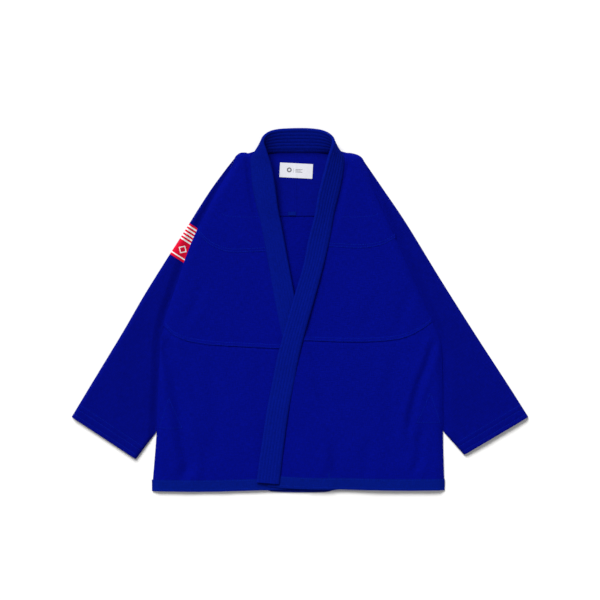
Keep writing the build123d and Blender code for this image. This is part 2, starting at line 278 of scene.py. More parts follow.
LAPEL = {side: lapel_course(side, 0.32) for side in SIDES}
LAPEL_MIDDLE = {side: lapel_course(side, 0.5) for side in SIDES}
FRONT_HEM = {
    "left": Course(at_side("left", (303, -374), (200, -374.5), (80, -372), (0, -371), (-67, -366))),
    "right": Course(at_side("right", (310, -376), (200, -377), (80, -374), (20, -371.5), (-43, -368))),
}
SLEEVE_FOLD = {  # the sleeve's outer fold between shoulder and cuff
    "left": at_side("left", (172, 258.5), (223, 183), (292, 70), (364, -44), (438, -158)),
    "right": at_side("right", (156, 296), (184, 258), (209, 220), (232, 183), (256, 145), (281, 106), (327, 32),
                     (371, -44), (440, -158)),
}
SLEEVE_INSET = 4 * MM     # how far the sleeve and the back run in under the front's rolled edge
CREASES = {  # valleys in the cloth of each front: points, half width, depth
    "left": [
        (at_side("left", (283, -48), (268, -105), (247, -160), (231, -225), (226, -268)), 7.5, 3.8),
        (at_side("left", (256, -236), (251, -270), (248, -310), (232, -352)), 8.0, 2.6),
        (at_side("left", (79, -255), (73, -310), (68, -362)), 12.0, 1.9),
        (at_side("left", (146, -255), (139, -310), (132, -362)), 12.0, 1.5),
        (at_side("left", (150, 40), (140, -20), (118, -60)), 12.0, 1.0),
        (at_side("left", (210, -75), (188, -180), (194, -290)), 15.0, 1.5),
        (at_side("left", (236, 60), (216, 5), (206, -55)), 12.0, 1.3),
    ],
    "right": [
        (at_side("right", (286, -44), (276, -98), (263, -145), (252, -208), (246, -271), (236, -322), (250, -362)),
         12.0, 5.4),
        (at_side("right", (304, -300), (299, -322), (287, -343), (264, -356)), 4.5, 1.8),
        (at_side("right", (198, -90), (176, -190), (182, -330)), 16.0, 1.3),
        (at_side("right", (90, -100), (84, -200), (62, -320)), 16.0, 1.2),
        (at_side("right", (200, 70), (222, 8), (254, -34)), 10.0, 1.4),
    ],
}
CREASE_LINES = {side: [(Course(points), half * MM, depth * MM) for points, half, depth in CREASES[side]]
                for side in SIDES}


# ---------------------------------------------------------------- how high the cloth lies
UNDER_FRONT = 8.6 * MM     # top of the wearer's right front, away from its edges
TOP_FRONT = 11.4 * MM      # top of the wearer's left front
ROLL_WIDTH = 17 * MM


def front_height(side, p):
    """Top of a front's cloth at a point on the table."""
    high = TOP_FRONT if side == "left" else UNDER_FRONT
    edge = HOLE[side].distance(p)
    shoulder = SHOULDER_TOP[side].distance(p)
    down = ease((p.y - 0.20) / 0.08)
    free = ease((-0.235 - p.y) / 0.02)
    low = 5.2 * MM * (1 - free) + 3.5 * MM * free
    low = low * (1 - down) + 2.4 * MM * down
    z = low + (high - low) * (0.45 * rounded(edge, ROLL_WIDTH) + 0.55 * ease(edge / ROLL_WIDTH + 0.12))
    z = min(z, 2.0 * MM + (high - 2.0 * MM) * rounded(shoulder, 20 * MM))
    calm = ease(edge / (45 * MM))
    z += calm * (1.9 * soft_noise(p.x, p.y * 0.55, 0.085, 3.1 + SIDES[side]) * MM
                 + 0.6 * soft_noise(p.x * 1.3, p.y, 0.034, 7.7) * MM)
    beside = LAPEL[side].distance(p) - 15 * MM
    neck = ease((p.y - 0.13) / 0.10) * ease((0.332 - p.y) / 0.035)
    z -= (3.3 if side == "right" else 2.6) * MM * math.exp(-((beside - 4 * MM) / (5.5 * MM)) ** 2) * neck
    for line, half, depth in CREASE_LINES[side]:
        away = line.distance(p) / half
        if away < 4:
            fade = ease(edge / (9 * MM)) * ease(line.from_end(p) / (34 * MM))
            z -= fade * depth * math.exp(-away * away)
            z += fade * 0.45 * depth * math.exp(-((away - 1.9) ** 2))
    if side == "left":
        ridge = LAPEL_MIDDLE["right"].distance(p) - 24 * MM
        z += 2.3 * MM * (1 - ease(ridge / (15 * MM)))
        free_edge = ease((-0.30 - p.y) / 0.07)
        z -= 1.2 * MM * free_edge
    hem = ease((HEM_Y + 0.035 - p.y) / 0.03)
    return z - 0.8 * MM * hem


def sleeve_edges(side):
    """Outer fold, under edge and armhole line of a sleeve, from the shoulder down."""
    hole = HOLE[side]
    split = hole.share_at_y(ARMPIT_Y)
    low = hole.share_at_y(-0.236)
    inset = Vector((-SIDES[side] * SLEEVE_INSET, 0))
    armhole = [hole.at(split * i / 8) + inset * min(i, 1) for i in range(9)]
    under = [hole.at(split + (low - split) * i / 4) + inset for i in range(5)]
    apex = at_side(side, (300.5, -252))[0]
    cuff_in = Vector((SIDES[side] * CUFF_IN.x, CUFF_IN.y))
    cuff_out = Vector((SIDES[side] * CUFF_OUT.x, CUFF_OUT.y))
    cuff_in.y += 7 * MM if side == "left" else -2 * MM
    outer = Course([hole.at(0), *SLEEVE_FOLD[side], cuff_out])
    inner = Course(under + [apex, apex.lerp(cuff_in, 0.5), cuff_in])
    cuff = Course([cuff_out, cuff_out.lerp(cuff_in, 0.5), cuff_in])
    return outer, inner, Course(armhole), cuff


SLEEVE = {side: sleeve_edges(side) for side in SIDES}
SLEEVE_TOP = 8.8 * MM
SLEEVE_FOLD_Z = 2.3 * MM
CUFF_HEM = 33 * MM


def sleeve_height(side, p, upper=True):
    """Top, or underside, of a sleeve's cloth at a point on the table."""
    outer, inner, armhole, cuff = SLEEVE[side]
    edge = min(rounded(outer.distance(p), 10 * MM), rounded(inner.distance(p), 8 * MM))
    off_body = HOLE[side].distance(p)
    if not upper:
        lowest = 0.4 * MM + 1.4 * MM * ease((40 * MM - off_body) / (15 * MM))
        return SLEEVE_FOLD_Z - (SLEEVE_FOLD_Z - lowest) * edge
    full = 0.3 * MM + (SLEEVE_TOP - 2.4 * MM) * ease(off_body / (20 * MM))
    cuff_step = 0.5 * MM * ease((CUFF_HEM - cuff.distance(p)) / (3 * MM) + 0.5)
    hills = 1.5 * soft_noise(p.x, p.y * 0.7, 0.08, 11.0 + SIDES[side]) * MM * ease(off_body / (30 * MM))
    hills += 0.6 * soft_noise(p.x, p.y, 0.033, 5.0) * MM
    return SLEEVE_FOLD_Z + (full + cuff_step + hills) * edge


# ---------------------------------------------------------------- mesh work
def finish_mesh(bm, name, material, smooth=True):
    """A new object from a bmesh, with its open edges kept sharp."""
    bm.normal_update()
    for edge in bm.edges:
        edge.smooth = len(edge.link_faces) == 2 and edge.calc_face_angle(0) < math.radians(65)
    for face in bm.faces:
        face.smooth = smooth
    mesh = bpy.data.meshes.new(name)
    bm.to_mesh(mesh)
    bm.free()
    mesh.materials.append(material)
    piece = bpy.data.objects.new(name, mesh)
    bpy.context.scene.collection.objects.link(piece)
    return piece


def thicken(piece, thickness):
    """Gives a sheet its thickness below its face."""
    solid = piece.modifiers.new("Thickness", "SOLIDIFY")
    solid.thickness = thickness
    solid.offset = -1
    solid.use_even_offset = False
    solid.use_rim = True
    return piece


def grid_of(rows, columns):
    """A bmesh grid whose vertices give their place as row and column numbers."""
    bm = bmesh.new()
    bmesh.ops.create_grid(bm, x_segments=columns, y_segments=rows, size=0.5)
    places = {v: (round((0.5 - v.co.y) * rows), round((v.co.x + 0.5) * columns)) for v in bm.verts}
    return bm, places


def face_up(bm):
    """Turns a sheet's faces towards +Z."""
    bm.normal_update()
    if sum(face.normal.z * face.calc_area() for face in bm.faces) < 0:
        bmesh.ops.reverse_faces(bm, faces=bm.faces)


def patch_point(outer, inner, top, bottom, u, v):
    """A point of the cloth that four edges bound: u from top to bottom, v from outer to inner."""
    ruled = outer.at(u).lerp(inner.at(u), v) + top.at(v).lerp(bottom.at(v), u)
    corners = outer.at(0).lerp(inner.at(0), v).lerp(outer.at(1).lerp(inner.at(1), v), u)
    return ruled - corners


def cloth_patch(name, edges, height, material, thickness, step=None, turn=0.0):
    """A sheet cut to four edges and laid at a height; its UV map is the flat cut in metres."""
    outer, inner, top, bottom = edges
    step = step or sizes().mesh_step
    rows = max(2, round(max(outer.length, inner.length) / step))
    columns = max(2, round(max(top.length, bottom.length) / step))
    bm, places = grid_of(rows, columns)
    for vert, (row, column) in places.items():
        p = patch_point(outer, inner, top, bottom, row / rows, column / columns)
        vert.co = (p.x, p.y, height(p))
    face_up(bm)
    flat_uv(bm, turn)
    return thicken(finish_mesh(bm, name, material), thickness)


def flat_uv(bm, turn=0.0):
    """A UV map in metres, read straight down on to the cloth, turned to its grain."""
    layer = bm.loops.layers.uv.new("UVMap")
    c, s = math.cos(turn), math.sin(turn)
    for face in bm.faces:
        for loop in face.loops:
            x, y = loop.vert.co.x, loop.vert.co.y
            loop[layer].uv = (x * c + y * s, y * c - x * s)


def felled_seam(name, course, width, height, fold, puff_height, material):
    """A flat-felled seam above a line: the turned cloth stands up between its two rows of stitches."""
    across = Vector((0, width))
    lower = Course([course.at(i / 16) for i in range(17)])
    upper = Course([course.at(i / 16) + across for i in range(17)])
    ends = [Course([upper.at(t), upper.at(t).lerp(lower.at(t), 0.5), lower.at(t)]) for t in (0, 1)]

    def puffed(p):
        share = min(max((lower.distance(p)) / width, 0.0), 1.0)
        puff = abs(math.sin(math.pi * (0.09 + share * 0.93) * 1.52)) ** 0.6
        sunk = 0.45 * puff_height * (1 - ease(share / 0.14))
        return height(p) + fold * (1 - share ** 3) + puff_height * puff * (1 - share ** 6) - sunk

    return cloth_patch(name, (*ends, upper, lower), puffed, material, 0.7 * MM, step=1.5 * MM), puffed


def grains(name, spans, thick, flat, material):
    """Stitches: a small rounded grain from each start to its end."""
    bm = bmesh.new()
    for first in range(0, len(spans), 60):
        some = bmesh.new()
        for a, b in spans[first:first + 60]:
            run = b - a
            place = Matrix.LocRotScale((a + b) / 2, run.to_track_quat("X", "Z"), Vector((run.length, thick, flat)))
            bmesh.ops.create_icosphere(some, subdivisions=1, radius=0.5, matrix=place)
        few = bpy.data.meshes.new("few")
        some.to_mesh(few)
        some.free()
        bm.from_mesh(few)
        bpy.data.meshes.remove(few)
    flat_uv(bm)
    return finish_mesh(bm, name, material)


def sew(name, courses, height, material, lift=0.25 * MM, thick=0.8 * MM):
    """Rows of stitches along courses, lying on the cloth."""
    spans = []
    for course in courses:
        count = max(1, round(course.length / sizes().stitch))
        for i in range(count):
            p, q = course.at((i + 0.14) / count), course.at((i + 0.86) / count)
            spans.append((Vector((p.x, p.y, height(p) + lift)), Vector((q.x, q.y, height(q) + lift))))
    return grains(name, spans, thick, thick * 0.7, material)


def hinge(piece, side):
    """Bakes a front piece's placement into its mesh; it is not bent across the fold line."""
    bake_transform(piece)
    return piece


def swing(piece):
    """Bakes a sleeve piece's placement into its mesh; it is not bent where the sleeve folds."""
    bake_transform(piece)
    return piece


def declare_sheet(piece, flat):
    """Works out the area of a cut piece's face, at most its laid-out size; nothing is done with it."""
    area = sum(face.area for face in piece.data.polygons)
    area = min(area, flat[0] * flat[1])


# ---------------------------------------------------------------- shader groups and materials
def new_group(name, inputs, outputs):
    """An empty shader node group with named sockets, and its ends."""
    group = bpy.data.node_groups.new(name, "ShaderNodeTree")
    for label, kind, default in inputs:
        socket = group.interface.new_socket(name=label, in_out="INPUT", socket_type=kind)
        if default is not None:
            socket.default_value = default
    for label, kind in outputs:
        group.interface.new_socket(name=label, in_out="OUTPUT", socket_type=kind)
    return group, group.nodes.new("NodeGroupInput"), group.nodes.new("NodeGroupOutput")


def calc(tree, operation, a, b=None, clamp=False):
    """A Math node; a and b are sockets or numbers."""
    node = tree.nodes.new("ShaderNodeMath")
    node.operation = operation
    node.use_clamp = clamp
    for index, value in enumerate((a, b)):
        if value is None:
            continue
        if isinstance(value, (int, float)):
            node.inputs[index].default_value = value
        else:
            tree.links.new(value, node.inputs[index])
    return node.outputs[0]


def weave_group():
    """Pearl weave: rows of small raised grains, each row half a grain along from the last."""
    group, start, end = new_group(
        "pearl_weave", [("Vector", "NodeSocketVector", None), ("Pitch", "NodeSocketFloat", 0.002),
                        ("Unevenness", "NodeSocketFloat", 0.25)],
        [("Height", "NodeSocketFloat"), ("Thread", "NodeSocketFloat")])
    links = group.links
    wander = group.nodes.new("ShaderNodeTexNoise")
    wander.inputs["Scale"].default_value = 120
    wander.inputs["Detail"].default_value = 2
    links.new(start.outputs["Vector"], wander.inputs["Vector"])
    apart = group.nodes.new("ShaderNodeSeparateXYZ")
    links.new(start.outputs["Vector"], apart.inputs[0])
    shift = calc(group, "MULTIPLY", calc(group, "SUBTRACT", wander.outputs["Fac"], 0.5),
                 start.outputs["Unevenness"])
    x = calc(group, "ADD", calc(group, "DIVIDE", apart.outputs["X"], start.outputs["Pitch"]), shift)
    y = calc(group, "ADD", calc(group, "DIVIDE", apart.outputs["Y"], calc(
        group, "MULTIPLY", start.outputs["Pitch"], 0.72)), shift)
    row = calc(group, "FLOOR", y)
    half = calc(group, "MULTIPLY", calc(group, "MODULO", row, 2.0), 0.5)
    across = calc(group, "ABSOLUTE", calc(group, "SINE", calc(
        group, "MULTIPLY", calc(group, "ADD", x, half), math.pi)))
    along = calc(group, "ABSOLUTE", calc(group, "SINE", calc(group, "MULTIPLY", y, math.pi)))
    grain = calc(group, "POWER", calc(group, "MULTIPLY", across, along), 0.7)
    fuzz = group.nodes.new("ShaderNodeTexNoise")
    fuzz.inputs["Scale"].default_value = 1900
    fuzz.inputs["Detail"].default_value = 1
    links.new(start.outputs["Vector"], fuzz.inputs["Vector"])
    high = calc(group, "ADD", grain, calc(group, "MULTIPLY", fuzz.outputs["Fac"], 0.35))
    links.new(high, end.inputs["Height"])
    links.new(grain, end.inputs["Thread"])
    return group


def twill_group():
    """Twill: fine raised ribs that run across the cloth on a slant."""
    group, start, end = new_group(
        "twill_weave", [("Vector", "NodeSocketVector", None), ("Pitch", "NodeSocketFloat", 0.0015),
                        ("Slant", "NodeSocketFloat", 1.0)],
        [("Height", "NodeSocketFloat"), ("Thread", "NodeSocketFloat")])
    links = group.links
    apart = group.nodes.new("ShaderNodeSeparateXYZ")
    links.new(start.outputs["Vector"], apart.inputs[0])
    wander = group.nodes.new("ShaderNodeTexNoise")
    wander.inputs["Scale"].default_value = 180
    links.new(start.outputs["Vector"], wander.inputs["Vector"])
    slid = calc(group, "ADD", apart.outputs["X"], calc(group, "MULTIPLY", apart.outputs["Y"],
                                                       start.outputs["Slant"]))
    turns = calc(group, "ADD", calc(group, "DIVIDE", slid, start.outputs["Pitch"]),
                 calc(group, "MULTIPLY", wander.outputs["Fac"], 0.5))
    rib = calc(group, "ABSOLUTE", calc(group, "SINE", calc(group, "MULTIPLY", turns, math.pi)))
    cross = calc(group, "ABSOLUTE", calc(group, "SINE", calc(group, "MULTIPLY", calc(
        group, "DIVIDE", apart.outputs["Y"], start.outputs["Pitch"]), math.pi)))
    high = calc(group, "ADD", rib, calc(group, "MULTIPLY", cross, 0.3))
    links.new(high, end.inputs["Height"])
    links.new(rib, end.inputs["Thread"])
    return group


def wear_group():
    """Uneven dye and rubbed places: wide soft blotches, and a fine heather of paler threads."""
    group, start, end = new_group(
        "dye_and_wear", [("Vector", "NodeSocketVector", None), ("Blotch size", "NodeSocketFloat", 14.0),
                         ("Heather size", "NodeSocketFloat", 420.0)],
        [("Blotch", "NodeSocketFloat"), ("Heather", "NodeSocketFloat"), ("Slub", "NodeSocketFloat")])
    links = group.links
    wide = group.nodes.new("ShaderNodeTexNoise")
    wide.inputs["Detail"].default_value = 3
    links.new(start.outputs["Vector"], wide.inputs["Vector"])
    links.new(start.outputs["Blotch size"], wide.inputs["Scale"])
    fine = group.nodes.new("ShaderNodeTexNoise")
    fine.inputs["Detail"].default_value = 3
    fine.inputs["Roughness"].default_value = 0.7
    links.new(start.outputs["Vector"], fine.inputs["Vector"])
    links.new(start.outputs["Heather size"], fine.inputs["Scale"])
    blotch = calc(group, "MULTIPLY", calc(group, "SUBTRACT", wide.outputs["Fac"], 0.35), 3.0, clamp=True)
    heather = calc(group, "MULTIPLY", calc(group, "SUBTRACT", fine.outputs["Fac"], 0.38), 3.6, clamp=True)
    threads = []
    for stretch in ((95, 640, 1), (640, 95, 1)):
        pulled = group.nodes.new("ShaderNodeVectorMath")
        pulled.operation = "MULTIPLY"
        pulled.inputs[1].default_value = stretch
        links.new(start.outputs["Vector"], pulled.inputs[0])
        slub = group.nodes.new("ShaderNodeTexNoise")
        slub.inputs["Scale"].default_value = 1
        slub.inputs["Detail"].default_value = 2
        links.new(pulled.outputs[0], slub.inputs["Vector"])
        threads.append(slub.outputs["Fac"])
    both = calc(group, "SUBTRACT", calc(group, "ADD", *threads), 0.72)
    links.new(calc(group, "MULTIPLY", both, 1.8, clamp=True), end.inputs["Slub"])
    links.new(blotch, end.inputs["Blotch"])
    links.new(heather, end.inputs["Heather"])
    return group


def group_named(name, maker):
    return bpy.data.node_groups.get(name) or maker()


def mixed(tree, factor, a, b):
    """A colour mix; a and b are colours or sockets."""
    node = tree.nodes.new("ShaderNodeMix")
    node.data_type = "RGBA"
    tree.links.new(factor, node.inputs["Factor"])
    for socket, value in ((node.inputs["A"], a), (node.inputs["B"], b)):
        if isinstance(value, bpy.types.NodeSocket):
            tree.links.new(value, socket)
        else:
            socket.default_value = (*value[:3], 1)
    return node.outputs["Result"]


def scaled(colour, by, lift=0.0):
    return tuple(min(1.0, c * by + lift) for c in colour)


def cloth_material(name, colour, group_name, maker, pitch, bump, contrast, heather=0.25, slant=None,
                   rough=0.86, sheen=0.05):
    """A woven cloth: weave height and thread shade from its group, uneven dye from the wear group."""
    found = bpy.data.materials.get(name)
    if found:
        return found
    material = bpy.data.materials.new(name)
    material.use_nodes = True
    tree = material.node_tree
    shader = tree.nodes["Principled BSDF"]
    uv = tree.nodes.new("ShaderNodeUVMap")
    uv.uv_map = "UVMap"
    weave = tree.nodes.new("ShaderNodeGroup")
    weave.node_tree = group_named(group_name, maker)
    weave.inputs["Pitch"].default_value = pitch
    if slant is not None:
        weave.inputs["Slant"].default_value = slant
    tree.links.new(uv.outputs[0], weave.inputs["Vector"])
    wear = tree.nodes.new("ShaderNodeGroup")
    wear.node_tree = group_named("dye_and_wear", wear_group)
    tree.links.new(uv.outputs[0], wear.inputs["Vector"])
    threads = mixed(tree, weave.outputs["Thread"], scaled(colour, 1 - contrast), scaled(colour, 1 + contrast))
    flecked = mixed(tree, calc(tree, "MULTIPLY", wear.outputs["Heather"], heather), threads,
                    scaled(colour, 1.45, 0.0006))
    pulled = mixed(tree, calc(tree, "MULTIPLY", wear.outputs["Slub"], 0.70), flecked, scaled(colour, 0.56))
    dyed = mixed(tree, calc(tree, "MULTIPLY", wear.outputs["Blotch"], 0.22), pulled, scaled(colour, 0.74))
    tree.links.new(dyed, shader.inputs["Base Color"])
    roughness = calc(tree, "ADD", calc(tree, "MULTIPLY", wear.outputs["Heather"], 0.08), rough - 0.05)
    tree.links.new(roughness, shader.inputs["Roughness"])
    shader.inputs["Specular IOR Level"].default_value = 0.03
    shader.inputs["Sheen Weight"].default_value = sheen
    shader.inputs["Sheen Roughness"].default_value = 0.55
    shader.inputs["Sheen Tint"].default_value = (*scaled(colour, 2.0, 0.004), 1)
    relief = tree.nodes.new("ShaderNodeBump")
    relief.inputs["Strength"].default_value = 1.0
    relief.inputs["Distance"].default_value = bump
    uneven = calc(tree, "SUBTRACT", weave.outputs["Height"], wear.outputs["Slub"])
    tree.links.new(uneven, relief.inputs["Height"])
    tree.links.new(relief.outputs[0], shader.inputs["Normal"])
    return material


def body_cloth():
    return cloth_material("pearl_weave_cloth", colours().body, "pearl_weave", weave_group, sizes().weave,
                          0.45 * MM, 0.28)


def shaded_sleeve_cloth():
    """The same weave, darkened by 14 per cent: painted shade for the sleeves, which lie lower than the body."""
    # painted shade: the body colour times 0.86 stands in for the shade on the low-lying sleeves
    return cloth_material("sleeve_weave_painted_shade", scaled(colours().body, 0.86), "pearl_weave", weave_group,
                          sizes().weave, 0.45 * MM, 0.28)


def collar_cloth():
    return cloth_material("collar_twill", colours().collar, "twill_weave", twill_group, sizes().twill,
                          0.22 * MM, 0.16, heather=0.18, slant=0.8)


def tape_cloth():
    return cloth_material("hem_twill", colours().tape, "twill_weave", twill_group, sizes().twill, 0.22 * MM,
                          0.18, heather=0.18, slant=-1.0)


def lining_cloth():
    return cloth_material("yoke_cloth", colours().lining, "twill_weave", twill_group, sizes().twill * 0.7,
                          0.12 * MM, 0.12, heather=0.2, slant=0.0)


def thread_and_highlight_material():
    # thread colour: partly paler thread, partly a painted highlight where the seams face the light
    return cloth_material("sewing_thread_and_highlight", colours().thread, "twill_weave", twill_group, 0.8 * MM, 0.1 * MM,
                          0.1, heather=0.1, slant=0.5, rough=0.6, sheen=0.05)


# ---------------------------------------------------------------- collar band
def band_profile(width, thickness, rows, pitch, puff):
    """Section of the collar band, once round: shares across and up, with a pillow between stitch rows."""
    half, round_off = width / 2, thickness * 0.5
    count = 96
    first = -pitch * (rows - 1) / 2
    upper = []
    for i in range(count + 1):
        a = -half * math.cos(math.pi * i / count) * 0.12 + (-half + width * i / count) * 0.88
        edge = rounded(half - abs(a), round_off)
        if first <= a <= -first:
            pillow = abs(math.sin(math.pi * (a - first) / pitch)) ** 0.55
        else:
            pillow = math.sin(math.pi * min((abs(a) + first) / (half + first), 1.0) * 0.8) ** 0.55
        full = 0.55 + 0.45 * ease((a + half) / (9 * MM))
        upper.append((a, (thickness / 2 * full - puff + puff * pillow) * edge))
    lower = [(a, -b) for a, b in upper[::-1]]
    return upper + lower[1:]


def band_stations(side):
    """Middle, across and outward directions, width and run of the collar band, from crown to hem."""
    edges = []
    for places in (SEWN_EDGE[side], FREE_EDGE[side]):
        points = [Vector((SIDES[side] * x, y, z)) * MM for x, y, z in places]
        before = Vector((-points[1].x, points[1].y, points[1].z))
        edges.append([before, *points, points[-1] * 2 - points[-2]])
    line = []
    for i in range(len(edges[0]) - 3):
        corners = [e[i:i + 4] for e in edges]
        count = max(2, round(((corners[0][2] - corners[0][1]).length + (corners[1][2] - corners[1][1]).length)
                             / (2 * 4.2 * MM)))
        for j in range(count):
            line.append(tuple(spline(*c, j / count) for c in corners))
    line.append((edges[0][-2], edges[1][-2]))
    stations, run = [], 0.0
    for i, (sewn, free) in enumerate(line):
        middle = (sewn + free) / 2
        before, after = line[max(i - 1, 0)], line[min(i + 1, len(line) - 1)]
        ahead = (after[0] + after[1] - before[0] - before[1]).normalized()
        if i == 0:
            ahead = Vector((SIDES[side], 0, 0))
        else:
            run += (middle - stations[-1][0]).length
        across = (free - sewn).normalized()
        out = across.cross(ahead).normalized() * SIDES[side]
        wave = 0.4 * MM * soft_noise(0.3, run, 0.06, 2.0 + SIDES[side]) * ease(run / 0.1)
        stations.append((middle + out * wave, across, out, (free - sewn).length, run))
    return stations


def band(name, side, inset, thickness, material, puff, rows, short=0):
    """The collar band of one side as a closed solid, ribbed where it is sewn through."""
    stations = band_stations(side)
    stations = stations[:len(stations) - short]
    width = sizes().collar_width - 2 * inset
    profile = band_profile(width, thickness, rows, sizes().collar_row, puff)
    bm, places = grid_of(len(stations) - 1, len(profile) - 1)
    girth = [0.0]
    for (a, b), (c, d) in zip(profile, profile[1:]):
        girth.append(girth[-1] + math.hypot(c - a, d - b))
    layer = bm.loops.layers.uv.new("UVMap")
    for face in bm.faces:
        for loop in face.loops:
            row, column = places[loop.vert]
            loop[layer].uv = (girth[column], stations[row][4])
    for vert, (row, column) in places.items():
        middle, across, out, wide, _ = stations[row]
        a, b = profile[column]
        vert.co = middle + across * (a * (wide - 2 * inset) / width) + out * b
    bmesh.ops.remove_doubles(bm, verts=bm.verts, dist=0.00001)
    bmesh.ops.holes_fill(bm, edges=[e for e in bm.edges if e.is_boundary], sides=0)
    bmesh.ops.recalc_face_normals(bm, faces=bm.faces)
    return finish_mesh(bm, name, material)


def band_hinge(piece):
    """Bakes a collar piece's placement into its mesh; it is not bent past the neck point."""
    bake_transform(piece)
    return piece


# ---------------------------------------------------------------- the operators
class JACKET_OT_back(bpy.types.Operator):
    """Lays the back, its hem tape and the stitches that hold it"""

    bl_idname = "jacket.back"
    bl_label = "Back"

    def execute(self, context):
        inset = Vector((SLEEVE_INSET + 0.5 * MM, 0))
        outline = {}
        for side in SIDES:
            hole = HOLE[side]
            points = []
            for i in range(19):
                p = hole.at(i / 18)
                tuck = 1 - ease((-0.228 - p.y) / 0.02)
                points.append(p - inset * SIDES[side] * tuck)
            points[0] = points[0] - Vector((SIDES[side] * 4 * MM, 3 * MM))
            points[-1] = Vector((points[-1].x - SIDES[side] * 1.5 * MM, HEM_Y + 8 * MM))
            outline[side] = Course(points)
        neck = Course([outline["left"].at(0), *at_side("left", (104, 322), (60, 333), (0, 337)),
                       *at_side("right", (60, 333), (104, 322)), outline["right"].at(0)])
        hem = Course([outline["left"].at(1), *at_side("left", (160, -371.5), (80, -374), (52, -379), (-10, -379.5),
                                                      (-58, -378), (-78, -374), (-160, -371.5)),
                      outline["right"].at(1)])
        sides = (outline["left"], outline["right"], neck, hem)

        def height(p):
            return 2.0 * MM + 0.15 * MM * soft_noise(p.x, p.y, 0.05, 1.0)

        back = cloth_patch("back_cloth", sides, height, body_cloth(), sizes().cloth)
        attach(back, "jacket_back")
        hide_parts("back_panel")
        width = (outline["left"].at(1) - outline["right"].at(1)).length
        tape_top = HEM_Y + sizes().hem_tape
        low = {s: outline[s].share_at_y(tape_top) for s in SIDES}
        left_end, right_end = outline["left"].part(low["left"], 1, 4), outline["right"].part(low["right"], 1, 4)
        upper = Course([left_end.at(0), left_end.at(0).lerp(right_end.at(0), 0.5), right_end.at(0)])
        tape = cloth_patch("back_hem_band", (left_end, right_end, upper, hem),
                           lambda p: height(p) + sizes().tape, tape_cloth(), sizes().tape * 0.9, step=4 * MM)
        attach(tape, "jacket_back")
        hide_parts("back_hem_tape")
        rows = [Course([upper.at(t) - Vector((0, drop)) for t in (0.004, 0.5, 0.996)])
                for drop in (2 * MM, sizes().hem_tape - 4 * MM)]
        sewn = sew("back_hem_stitches", rows, lambda p: height(p) + sizes().tape, thread_and_highlight_material())
        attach(sewn, "jacket_back")
        declare_sheet(back, (width, RIM_Y - HEM_Y))
        return {"FINISHED"}


class JACKET_OT_yoke(bpy.types.Operator):
    """Lays the two halves of the yoke lining, their seam and tack, and the neck label"""

    bl_idname = "jacket.yoke"
    bl_label = "Yoke lining and label"

    def execute(self, context):
        lift = 3.1 * MM
        seam_x, low_y = -9.0, 199.0
        ends = {"left": 150.0, "right": -150.0}

        def height(p):
            near_seam = math.exp(-((p.x - seam_x * MM) / (3 * MM)) ** 2)
            near_low = math.exp(-((p.y - (low_y + 2) * MM) / (3 * MM)) ** 2)
            neck_rise = 1.8 * MM * ease((p.y - 0.323) / 0.009)
            return (lift + neck_rise + 0.5 * MM * max(near_seam, near_low)
                    + 0.35 * MM * soft_noise(p.x, p.y, 0.03, 4.0))

        for side, end in ends.items():
            outer = Course([Vector((end, 262)) * MM, Vector((end, 228)) * MM, Vector((end, low_y)) * MM])
            inner = Course([Vector((seam_x, 333)) * MM, Vector((seam_x, 266)) * MM, Vector((seam_x, low_y)) * MM])
            middle = (end + seam_x) / 2
            top = Course([outer.at(0), Vector((middle * 1.18, 316)) * MM, Vector((middle * 0.7, 329)) * MM,
                          inner.at(0)])
            bottom = Course([outer.at(1), outer.at(1).lerp(inner.at(1), 0.5), inner.at(1)])
            lining = cloth_patch(f"yoke_cloth_{side}", (outer, inner, top, bottom), height, lining_cloth(),
                                 0.9 * MM, step=4 * MM)
            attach(lining, "jacket_back")
            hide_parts(f"yoke_lining_{side}")
            declare_sheet(lining, (abs(end - seam_x) * MM, 0.137))
        rows = [Course(at_side("left", (seam_x + off, 331), (seam_x + off, 266), (seam_x + off, low_y + 2)))
                for off in (-2.2, 2.2)]
        rows += [Course(at_side("left", (-148, low_y + up), (0, low_y + up), (148, low_y + up)))
                 for up in (2.0, 7.0)]
        sewn = sew("yoke_stitches", rows, height, lining_cloth())
        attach(sewn, "jacket_back")
        self.label(height)
        self.tack(height, seam_x, low_y)
        return {"FINISHED"}

    def label(self, height):
        """The woven label: a grid bent to the lining."""
        low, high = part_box("neck_label")
        middle = (low + high) / 2
        turn = math.radians(-3)
        half_w, half_h = 34.5 * MM, 15.3 * MM
        bm = bmesh.new()
        bmesh.ops.create_grid(bm, x_segments=36, y_segments=16, size=0.5)
        layer = bm.loops.layers.uv.new("UVMap")
        for face in bm.faces:
            for loop in face.loops:
                loop[layer].uv = (loop.vert.co.x * 2 * half_w, loop.vert.co.y * 2 * half_h)
        for vert in bm.verts:
            x, y = vert.co.x * 2 * half_w, vert.co.y * 2 * half_h
            x, y = x * math.cos(turn) - y * math.sin(turn), x * math.sin(turn) + y * math.cos(turn)
            p = Vector((middle.x + x, middle.y + y))
            vert.co = (p.x, p.y, height(p) + 0.75 * MM)
        face_up(bm)
        label = thicken(finish_mesh(bm, "neck_label_cloth", label_material(half_w, half_h)), 0.4 * MM)
        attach(label, "jacket_back")
        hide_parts("neck_label")
        declare_sheet(label, (2 * half_w, 2 * half_h))

    def tack(self, height, seam_x, low_y):
        """The short bar of tape that closes the foot of the centre seam."""
        left, right = seam_x - 16, seam_x + 0.5
        edges = (Course(at_side("left", (left, low_y + 9), (left, low_y + 5), (left, low_y + 1))),
                 Course(at_side("left", (right, low_y + 9), (right, low_y + 5), (right, low_y + 1))),
                 Course(at_side("left", (left, low_y + 9), (left + 8, low_y + 9), (right, low_y + 9))),
                 Course(at_side("left", (left, low_y + 1), (left + 8, low_y + 1), (right, low_y + 1))))
        bar = cloth_patch("yoke_tack", edges, lambda p: height(p) + 1.3 * MM, tape_cloth(), 0.6 * MM, step=1.5 * MM)
        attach(bar, "jacket_back")


